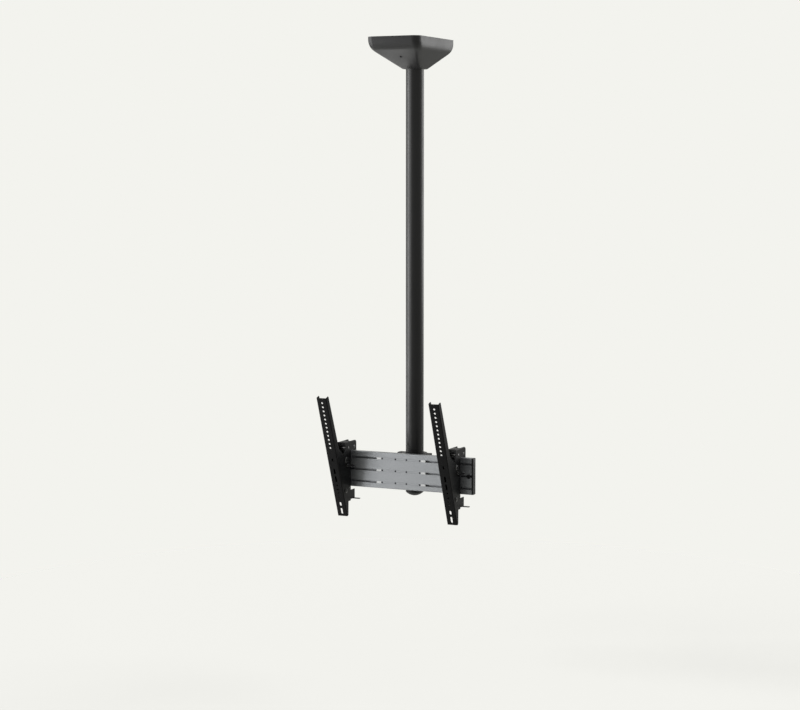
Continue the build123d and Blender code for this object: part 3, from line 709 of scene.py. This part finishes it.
class MOUNT_OT_arms(Operator):
    """Dresses both display arms with their pivots and tilt stops."""

    bl_idname = "mount.arms"
    bl_label = "Display arms"

    # Head radii and threaded length of the pivot and stop bolts, in millimetres
    pivot_head = 9.5
    stop_head = 7.5
    threaded = 8

    def execute(self, context):
        """Makes the arms and all that tilts with them."""
        for side in SIDES:
            dress(context, f"display_arm_{side}")
            for node, size, radius in (("pivot_bolt", M8, self.pivot_head), ("stop_bolt", M6, self.stop_head)):
                (low, high), = solid_boxes(f"{node}_{side}")
                middle = (low + high) / 2
                seat = (high[0] - size["head"], middle[1], middle[2])
                bolt = domed_bolt(size, seat, (1, 0, 0), seat[0] - low[0], self.threaded, radius)
                fasten(context, f"{node}_{side}", "bolt_paint", bolt)
            for node, size in ((f"pivot_nut_{side}", M8), (f"stop_nut_{side}", M6)):
                fasten(context, node, "zinc_steel", *bolts_along(node, 0, size, self.threaded))
            for node, bore, finish in (
                ("pivot_spacer", M8["shank"], "zinc_steel"),
                ("pivot_washers", M8["shank"], "black_plastic"),
                ("stop_sleeve", M6["shank"], "zinc_steel"),
            ):
                rings = []
                for low, high in solid_boxes(f"{node}_{side}"):
                    middle = (low + high) / 2
                    outer = (high[1] - low[1]) / 2
                    place = (0, middle[1], middle[2])
                    rings.append(collar(bore + BORE_GAP, outer, low[0], high[0], place, (1, 0, 0)))
                fasten(context, f"{node}_{side}", finish, *rings)
        return {"FINISHED"}


class MOUNT_OT_brackets(Operator):
    """Dresses both hook brackets with their latches, rivets and tilt locks."""

    bl_idname = "mount.brackets"
    bl_label = "Hook brackets"

    # Rivet sizes and the room beside the latch plate, in millimetres
    pin = 2.5
    head = 4.5
    rise = 1.0
    plate = 2.0
    latch_room = 3.6
    # The lock bolt's head, its chamfer and the plain length under it
    lock_head = 2.5
    lock_edge = 0.5
    lock_plain = 4

    def execute(self, context):
        """Makes the brackets and all that hangs on them."""
        for side in SIDES:
            dress(context, f"hook_bracket_{side}")
            dress(context, f"latch_{side}")
            latch_rivets = self.rivets(f"latch_rivets_{side}", self.latch_room)
            fasten(context, f"latch_rivets_{side}", "black_oxide", *latch_rivets)
            fasten(context, f"hook_rivets_{side}", "zinc_steel", *self.rivets(f"hook_rivets_{side}", 0))
            fasten(context, f"lock_bolt_{side}", "black_oxide", self.lock_bolt(f"lock_bolt_{side}"))
            fasten(context, f"lock_nut_{side}", "zinc_steel", self.lock_nut(f"lock_nut_{side}"))
        return {"FINISHED"}

    def rivets(self, node, room):
        """Rivets along X: a shoulder between the plates, pins through them and a domed head at each end."""
        surfaces = []
        for low, high in solid_boxes(node):
            middle = (low + high) / 2
            start, end = low[0] + self.rise, high[0] - self.rise
            shoulder = (high[1] - low[1]) / 2
            rings = [(0, low[0]), *reversed(dome(self.head, self.rise, start, -1)), (self.pin, start)]
            rings += [(self.pin, start + self.plate), (shoulder, start + self.plate)]
            rings += [(shoulder, end - self.plate - room), (self.pin, end - self.plate - room), (self.pin, end)]
            rings += [*dome(self.head, self.rise, end, 1), (0, high[0])]
            surfaces.append(spun(rings, (0, middle[1], middle[2]), (1, 0, 0)))
        return surfaces

    def lock_bolt(self, node):
        """A bolt along X with a low round head inside the bracket and a thread on its outer length."""
        (low, high), = solid_boxes(node)
        middle = (low + high) / 2
        radius = (high[1] - low[1]) / 2
        seat = low[0] + self.lock_head
        rings = [(0, low[0]), (radius - self.lock_edge, low[0]), (radius, low[0] + self.lock_edge)]
        rings += [(radius, seat), (M6["shank"], seat), *thread(M6, seat + self.lock_plain, high[0] - POINT)]
        rings += [(M6["shank"] - M6["pitch"], high[0]), (0, high[0])]
        return spun(rings, (0, middle[1], middle[2]), (1, 0, 0))

    def lock_nut(self, node):
        """The lock's nut, standing off the arm's outer face."""
        (low, high), = solid_boxes(node)
        middle = (low + high) / 2
        return hex_nut(M6, (low[0], middle[1], middle[2]), (1, 0, 0))


def add_softbox(context, name, place, target, width, height, power):
    """A rectangular area lamp that faces its target and is not seen itself."""
    lamp = bpy.data.lights.new(name, "AREA")
    lamp.shape = "RECTANGLE"
    lamp.size = width
    lamp.size_y = height
    lamp.energy = power
    holder = bpy.data.objects.new(name, lamp)
    context.scene.collection.objects.link(holder)
    holder.location = place
    holder.rotation_euler = (Vector(target) - Vector(place)).to_track_quat("-Z", "Y").to_euler()
    holder.visible_camera = False


class MOUNT_OT_stage(Operator):
    """Sets the pale floor, the soft light and the camera."""

    bl_idname = "mount.stage"
    bl_label = "Stage"

    # Strength of the backdrop as a light on matt surfaces
    fill_strength = 0.35
    # Points around the floor, the outer ring's radius and where mirrors see it fade, in metres
    floor_points = 96
    ring_reach = 12.0
    fade_start = 4.0
    fade_end = 11.0

    def execute(self, context):
        """Makes the camera, backdrop, floor and softboxes."""
        stage = context.scene.mount_stage
        context.scene.view_settings.view_transform = "Standard"
        self.camera(context, stage)
        self.world(context, stage)
        self.floor(context, stage)
        for softbox in SOFTBOXES:
            add_softbox(context, *softbox)
        return {"FINISHED"}

    def camera(self, context, stage):
        """The photograph's camera, level with the upper pole and looking a little down."""
        camera = bpy.data.cameras.new("photo_camera")
        camera.lens = stage.camera_lens
        camera.sensor_width = 36
        holder = bpy.data.objects.new("photo_camera", camera)
        context.scene.collection.objects.link(holder)
        holder.location = (
            stage.camera_reach * sin(stage.camera_azimuth),
            -stage.camera_reach * cos(stage.camera_azimuth),
            stage.camera_level,
        )
        holder.rotation_euler = (pi / 2 - stage.camera_pitch, 0, stage.camera_azimuth + stage.camera_aside)
        context.scene.camera = holder

    def world(self, context, stage):
        """A pale backdrop, at full strength where it is seen or mirrored and weaker as a light."""
        world = bpy.data.worlds.new("studio")
        context.scene.world = world
        world.use_nodes = True
        tree = world.node_tree
        tree.nodes.clear()
        path = add_node(tree, "ShaderNodeLightPath")
        mirrored = add_node(
            tree, "ShaderNodeMath", {0: path.outputs["Is Glossy Ray"], 1: path.outputs["Is Transmission Ray"]},
            operation="MAXIMUM",
        )
        shown = add_node(
            tree, "ShaderNodeMath", {0: path.outputs["Is Camera Ray"], 1: mirrored.outputs[0]}, operation="MAXIMUM"
        )
        seen = add_node(tree, "ShaderNodeBackground", {"Color": rgba(stage.backdrop), "Strength": 1.0})
        fill = add_node(
            tree, "ShaderNodeBackground", {"Color": rgba(stage.backdrop), "Strength": self.fill_strength}
        )
        mix = add_node(
            tree, "ShaderNodeMixShader", {0: shown.outputs[0], 1: fill.outputs[0], 2: seen.outputs[0]}
        )
        add_node(tree, "ShaderNodeOutputWorld", {"Surface": mix.outputs[0]})

    def floor(self, context, stage):
        """A round floor that keeps the shadow, and a wide ring around it that only lights and mirrors.

        The round floor ends below the mount in the picture, so its edge crosses no piece.
        """
        material = self.floor_finish(stage)
        count = self.floor_points
        angle = np.linspace(0, 2 * pi, count, endpoint=False)
        circle = np.stack((np.cos(angle), np.sin(angle), np.zeros(count)), axis=-1)
        level = np.array((0, 0, stage.floor_level))
        near = circle * stage.floor_reach + level
        far = circle * self.ring_reach + level
        index = np.arange(count)
        following = (index + 1) % count
        quads = np.stack((index, index + count, following + count, following), axis=-1)
        for name, points, faces in (
            ("floor", near, [index.tolist()]),
            ("floor_around", np.concatenate((near, far)), quads.tolist()),
        ):
            mesh = bpy.data.meshes.new(name)
            mesh.from_pydata(points.tolist(), [], faces)
            mesh.materials.append(material)
            floor = bpy.data.objects.new(name, mesh)
            context.scene.collection.objects.link(floor)
            floor.is_shadow_catcher = name == "floor"
            floor.visible_camera = name == "floor"

    def floor_finish(self, stage):
        """Matt pale paint, slightly clouded."""
        material, tree, place = new_tree("matt_floor")
        cloud = add_node(tree, "ShaderNodeTexNoise", {"Vector": place, "Scale": 2.0})
        tone = add_node(
            tree, "ShaderNodeMix",
            {0: cloud.outputs["Fac"], 6: rgba(stage.backdrop, 0.96), 7: rgba(stage.backdrop)},
            data_type="RGBA",
        )
        matt = add_node(tree, "ShaderNodeBsdfDiffuse", {"Color": tone.outputs[2]})
        # In mirrors and through glass the far floor fades into the backdrop
        away = add_node(tree, "ShaderNodeVectorMath", {0: place}, operation="LENGTH")
        fade = add_node(
            tree, "ShaderNodeMapRange",
            {"Value": away.outputs["Value"], "From Min": self.fade_start, "From Max": self.fade_end},
            interpolation_type="SMOOTHSTEP",
        )
        path = add_node(tree, "ShaderNodeLightPath")
        mirrored = add_node(
            tree, "ShaderNodeMath", {0: path.outputs["Is Glossy Ray"], 1: path.outputs["Is Transmission Ray"]},
            operation="MAXIMUM",
        )
        share = add_node(
            tree, "ShaderNodeMath", {0: mirrored.outputs[0], 1: fade.outputs["Result"]}, operation="MULTIPLY"
        )
        pale = add_node(tree, "ShaderNodeEmission", {"Color": rgba(stage.backdrop), "Strength": 1.0})
        surface = add_node(
            tree, "ShaderNodeMixShader", {0: share.outputs[0], 1: matt.outputs[0], 2: pale.outputs[0]}
        )
        add_node(tree, "ShaderNodeOutputMaterial", {"Surface": surface.outputs[0]})
        return material


class MOUNT_PT_panel(Panel):
    """Lists the mount's pieces, finishes and stage."""

    bl_idname = "MOUNT_PT_panel"
    bl_label = "Ceiling mount"
    bl_space_type = "VIEW_3D"
    bl_region_type = "UI"
    bl_category = "Mount"

    def draw(self, context):
        """Shows a button for each operator and a box for each group of values."""
        layout = self.layout
        for operator in OPERATORS:
            layout.operator(operator.bl_idname)
        for group in (context.scene.mount_finishes, context.scene.mount_details, context.scene.mount_stage):
            box = layout.box()
            for name in group.__annotations__:
                box.prop(group, name)


OPERATORS = (MOUNT_OT_pole, MOUNT_OT_cover, MOUNT_OT_rail, MOUNT_OT_arms, MOUNT_OT_brackets, MOUNT_OT_stage)
GROUPS = {"mount_finishes": MountFinishes, "mount_details": MountDetails, "mount_stage": MountStage}


def register():
    """Registers the groups of values, the operators and the panel."""
    for group in GROUPS.values():
        bpy.utils.register_class(group)
    for name, group in GROUPS.items():
        setattr(bpy.types.Scene, name, PointerProperty(type=group))
    for operator in OPERATORS:
        bpy.utils.register_class(operator)
    bpy.utils.register_class(MOUNT_PT_panel)


def unregister():
    """Takes back what register added, in reverse order."""
    bpy.utils.unregister_class(MOUNT_PT_panel)
    for operator in reversed(OPERATORS):
        bpy.utils.unregister_class(operator)
    for name, group in reversed(GROUPS.items()):
        delattr(bpy.types.Scene, name)
        bpy.utils.unregister_class(group)


def main():
    """Registers the add-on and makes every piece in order."""
    register()
    FINISH.update(make_finishes(bpy.context.scene.mount_finishes))
    bpy.ops.mount.pole()
    bpy.ops.mount.cover()
    bpy.ops.mount.rail()
    bpy.ops.mount.arms()
    bpy.ops.mount.brackets()
    bpy.ops.mount.stage()


if __name__ == "__main__":
    main()
